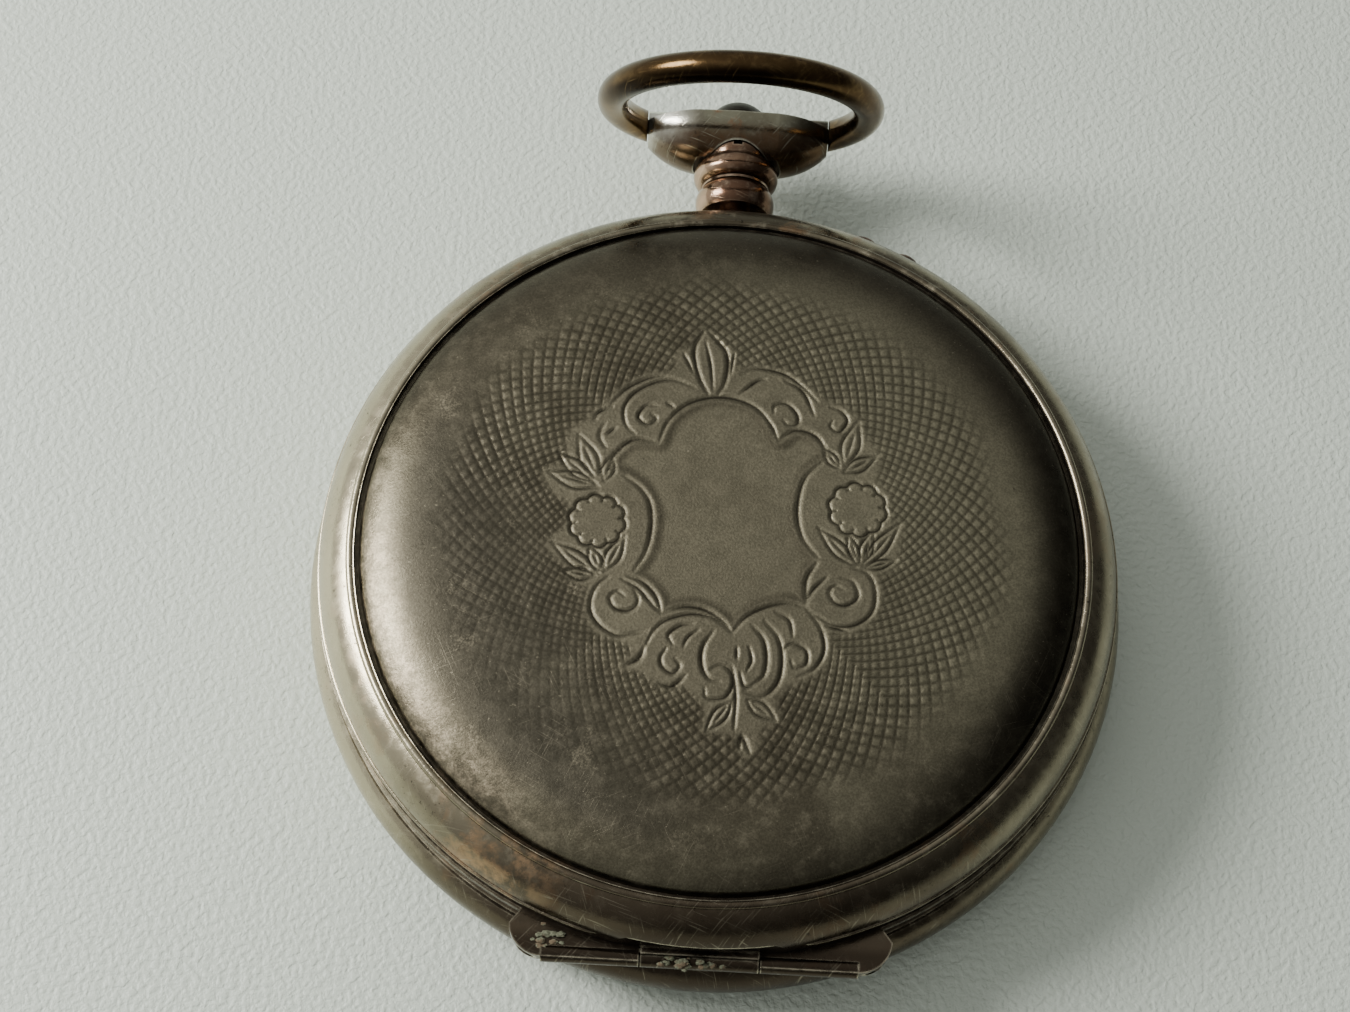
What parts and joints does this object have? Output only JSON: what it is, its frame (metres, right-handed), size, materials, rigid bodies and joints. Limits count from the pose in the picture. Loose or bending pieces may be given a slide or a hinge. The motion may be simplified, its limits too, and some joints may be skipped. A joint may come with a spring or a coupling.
{
  "type": "fob watch",
  "caption": "Round open-face fob watch with hinged engraved back, dust cover, pull-off bezel, winding crown, swinging ring bow, and a geared movement with dial and hands.",
  "frame": {"origin": "centre of the crystal's flat face, on the surface the watch lies on", "axes": "+Z from the crystal to the back cover, +Y towards the pendant and bow, +X to the right seen from the back"},
  "size_m": [0.052, 0.0607, 0.0211],
  "materials": {
    "dome_silver": "dark tarnished silver, engine-turned and engraved",
    "case_silver": "worn silver, scratched, with traces of gilding",
    "pin_steel": "plain steel wire",
    "crystal_glass": "clear mineral glass with a bevelled edge",
    "pendant_copper": "turned silver worn to its copper base",
    "pendant_silver": "silver-plated, greenish brown in the hollows",
    "bow_bronze": "bronze-brown wire with golden highlights",
    "crown_dark": "worn dark steel",
    "guard_brown": "dark reddish-brown copper",
    "dial_enamel": "white enamel with black hour and minute figures",
    "hand_gilt": "pierced gilt brass",
    "hand_blue": "blued steel",
    "plate_gilt": "frosted gilding",
    "wheel_brass": "polished brass",
    "steel": "polished and grained steel",
    "blued_steel": "heat-blued steel",
    "spring_steel": "spring steel ribbon",
    "ruby": "synthetic ruby"
  },
  "bodies": {
    "case": {"case_middle": "case_silver", "back_hinge_pin": "pin_steel", "cuvette_hinge_pin": "pin_steel", "pendant_neck": "pendant_copper", "pendant_head": "pendant_silver", "setting_pin_guard": "guard_brown", "main_plate": "plate_gilt", "barrel_bridge": "plate_gilt", "train_bridge": "plate_gilt", "escape_cock": "plate_gilt", "balance_cock": "plate_gilt", "hairspring_stud": "steel", "hairspring": "blued_steel", "bridge_screws": "blued_steel", "case_screws": "blued_steel", "jewels": "ruby", "crown_wheel_screw": "blued_steel", "click_screw": "blued_steel", "click_spring": "spring_steel", "yoke_spring": "spring_steel", "dial": "dial_enamel"},
    "bezel": {"bezel": "case_silver", "crystal": "crystal_glass"},
    "back_cover": {"back_cover_rim": "case_silver", "back_cover_dome": "dome_silver"},
    "cuvette": {"cuvette": "case_silver"},
    "bow": {"bow": "bow_bronze"},
    "crown": {"crown": "crown_dark", "stem": "steel", "winding_pinion": "steel"},
    "sliding_pinion": {"sliding_pinion": "steel"},
    "setting_pin": {"setting_pin": "steel"},
    "yoke": {"yoke": "steel"},
    "crown_wheel": {"crown_wheel": "steel"},
    "barrel_arbor": {"barrel_arbor": "steel", "ratchet_wheel": "steel", "ratchet_screw": "blued_steel"},
    "click": {"click": "steel"},
    "barrel": {"barrel_drum": "wheel_brass", "barrel_cover": "wheel_brass", "mainspring": "spring_steel"},
    "centre": {"centre_wheel": "wheel_brass", "cannon_pinion": "steel", "minute_hand": "hand_gilt"},
    "third": {"third_wheel": "wheel_brass"},
    "fourth": {"fourth_wheel": "wheel_brass", "second_hand": "hand_blue"},
    "escape": {"escape_wheel": "steel"},
    "balance": {"balance_wheel": "wheel_brass", "balance_cylinder": "steel", "balance_collet": "wheel_brass"},
    "minute_wheel": {"minute_wheel": "wheel_brass"},
    "hour": {"hour_wheel": "wheel_brass", "hour_hand": "hand_gilt"},
    "setting_wheel": {"setting_wheel": "steel"},
    "regulator": {"regulator": "steel"}
  },
  "joints": [
    {"name": "back_cover_open", "type": "hinge", "parent": "case", "child": "back_cover", "pos_m": [0, -0.025, 0.0069], "axis": [1, 0, 0], "range_deg": [0, 105]},
    {"name": "cuvette_open", "type": "hinge", "parent": "case", "child": "cuvette", "pos_m": [0, -0.0223, 0.0095], "axis": [1, 0, 0], "range_deg": [0, 75]},
    {"name": "bezel_pull_off", "type": "slide", "parent": "case", "child": "bezel", "axis": [0, 0, -1], "range_m": [0, 0.015]},
    {"name": "bow_swing", "type": "hinge", "parent": "case", "child": "bow", "pos_m": [0, 0.03275, 0.0062], "axis": [1, 0, 0], "range_deg": [-245, 39]},
    {"name": "crown_turn", "type": "hinge", "parent": "case", "child": "crown", "pos_m": [0, 0.03, 0.0062], "axis": [0, 1, 0], "continuous": true},
    {"name": "sliding_pinion_shift", "type": "slide", "parent": "crown", "child": "sliding_pinion", "axis": [0, -1, 0], "range_m": [0, 0.001]},
    {"name": "setting_pin_press", "type": "slide", "parent": "case", "child": "setting_pin", "axis": [-0.3955, -0.9184, 0], "range_m": [0, 0.0005], "stiffness_N_per_m": 200, "springref_m": -0.0005},
    {"name": "yoke_turn", "type": "hinge", "parent": "case", "child": "yoke", "pos_m": [0.012, 0.0146, 0.0062], "axis": [0, 0, 1], "range_deg": [0, 5.5]},
    {"name": "crown_wheel_turn", "type": "hinge", "parent": "case", "child": "crown_wheel", "pos_m": [0, 0.0142, 0.0089], "axis": [0, 0, 1], "continuous": true},
    {"name": "ratchet_turn", "type": "hinge", "parent": "case", "child": "barrel_arbor", "pos_m": [-0.006, 0.0061, 0.0089], "axis": [0, 0, 1], "continuous": true},
    {"name": "click_swing", "type": "hinge", "parent": "case", "child": "click", "pos_m": [-0.0138, 0.00326, 0.0089], "axis": [0, 0, 1], "range_deg": [-12, 0], "stiffness_Nm_per_rad": 0.001, "springref_deg": 5.73},
    {"name": "centre_turn", "type": "hinge", "parent": "case", "child": "centre", "pos_m": [0, 0, 0.006], "axis": [0, 0, 1], "continuous": true},
    {"name": "barrel_turn", "type": "hinge", "parent": "case", "child": "barrel", "pos_m": [-0.006, 0.0061, 0.006], "axis": [0, 0, 1], "continuous": true},
    {"name": "third_turn", "type": "hinge", "parent": "case", "child": "third", "pos_m": [-0.00279, -0.00615, 0.006], "axis": [0, 0, 1], "continuous": true},
    {"name": "fourth_turn", "type": "hinge", "parent": "case", "child": "fourth", "pos_m": [0, -0.0099, 0.006], "axis": [0, 0, 1], "continuous": true},
    {"name": "escape_turn", "type": "hinge", "parent": "case", "child": "escape", "pos_m": [0.0037, -0.00885, 0.006], "axis": [0, 0, 1], "continuous": true},
    {"name": "balance_swing", "type": "hinge", "parent": "case", "child": "balance", "pos_m": [0.0076, -0.00775, 0.008], "axis": [0, 0, 1], "range_deg": [-220, 220], "stiffness_Nm_per_rad": 0.000001},
    {"name": "minute_wheel_turn", "type": "hinge", "parent": "case", "child": "minute_wheel", "pos_m": [0, 0.00384, 0.004], "axis": [0, 0, 1], "continuous": true},
    {"name": "hour_turn", "type": "hinge", "parent": "case", "child": "hour", "pos_m": [0, 0, 0.003], "axis": [0, 0, 1], "continuous": true},
    {"name": "setting_wheel_turn", "type": "hinge", "parent": "case", "child": "setting_wheel", "pos_m": [0, 0.01072, 0.004], "axis": [0, 0, 1], "continuous": true},
    {"name": "regulator_move", "type": "hinge", "parent": "case", "child": "regulator", "pos_m": [0.0076, -0.00775, 0.0095], "axis": [0, 0, 1], "range_deg": [-20, 20]}
  ],
  "couplings": [
    {"joint": "cuvette_open", "follows": "back_cover_open", "ratio": 0.7},
    {"joint": "crown_wheel_turn", "follows": "crown_turn", "ratio": -0.5},
    {"joint": "ratchet_turn", "follows": "crown_turn", "ratio": 0.375},
    {"joint": "sliding_pinion_shift", "follows": "setting_pin_press", "ratio": 2},
    {"joint": "yoke_turn", "follows": "setting_pin_press", "rad_per_m": 190},
    {"joint": "barrel_turn", "follows": "centre_turn", "ratio": -0.125},
    {"joint": "third_turn", "follows": "centre_turn", "ratio": -8},
    {"joint": "fourth_turn", "follows": "centre_turn", "ratio": 60},
    {"joint": "escape_turn", "follows": "centre_turn", "ratio": -600},
    {"joint": "minute_wheel_turn", "follows": "centre_turn", "ratio": -0.33333},
    {"joint": "hour_turn", "follows": "centre_turn", "ratio": 0.083333},
    {"joint": "setting_wheel_turn", "follows": "centre_turn", "ratio": 0.24}
  ]
}
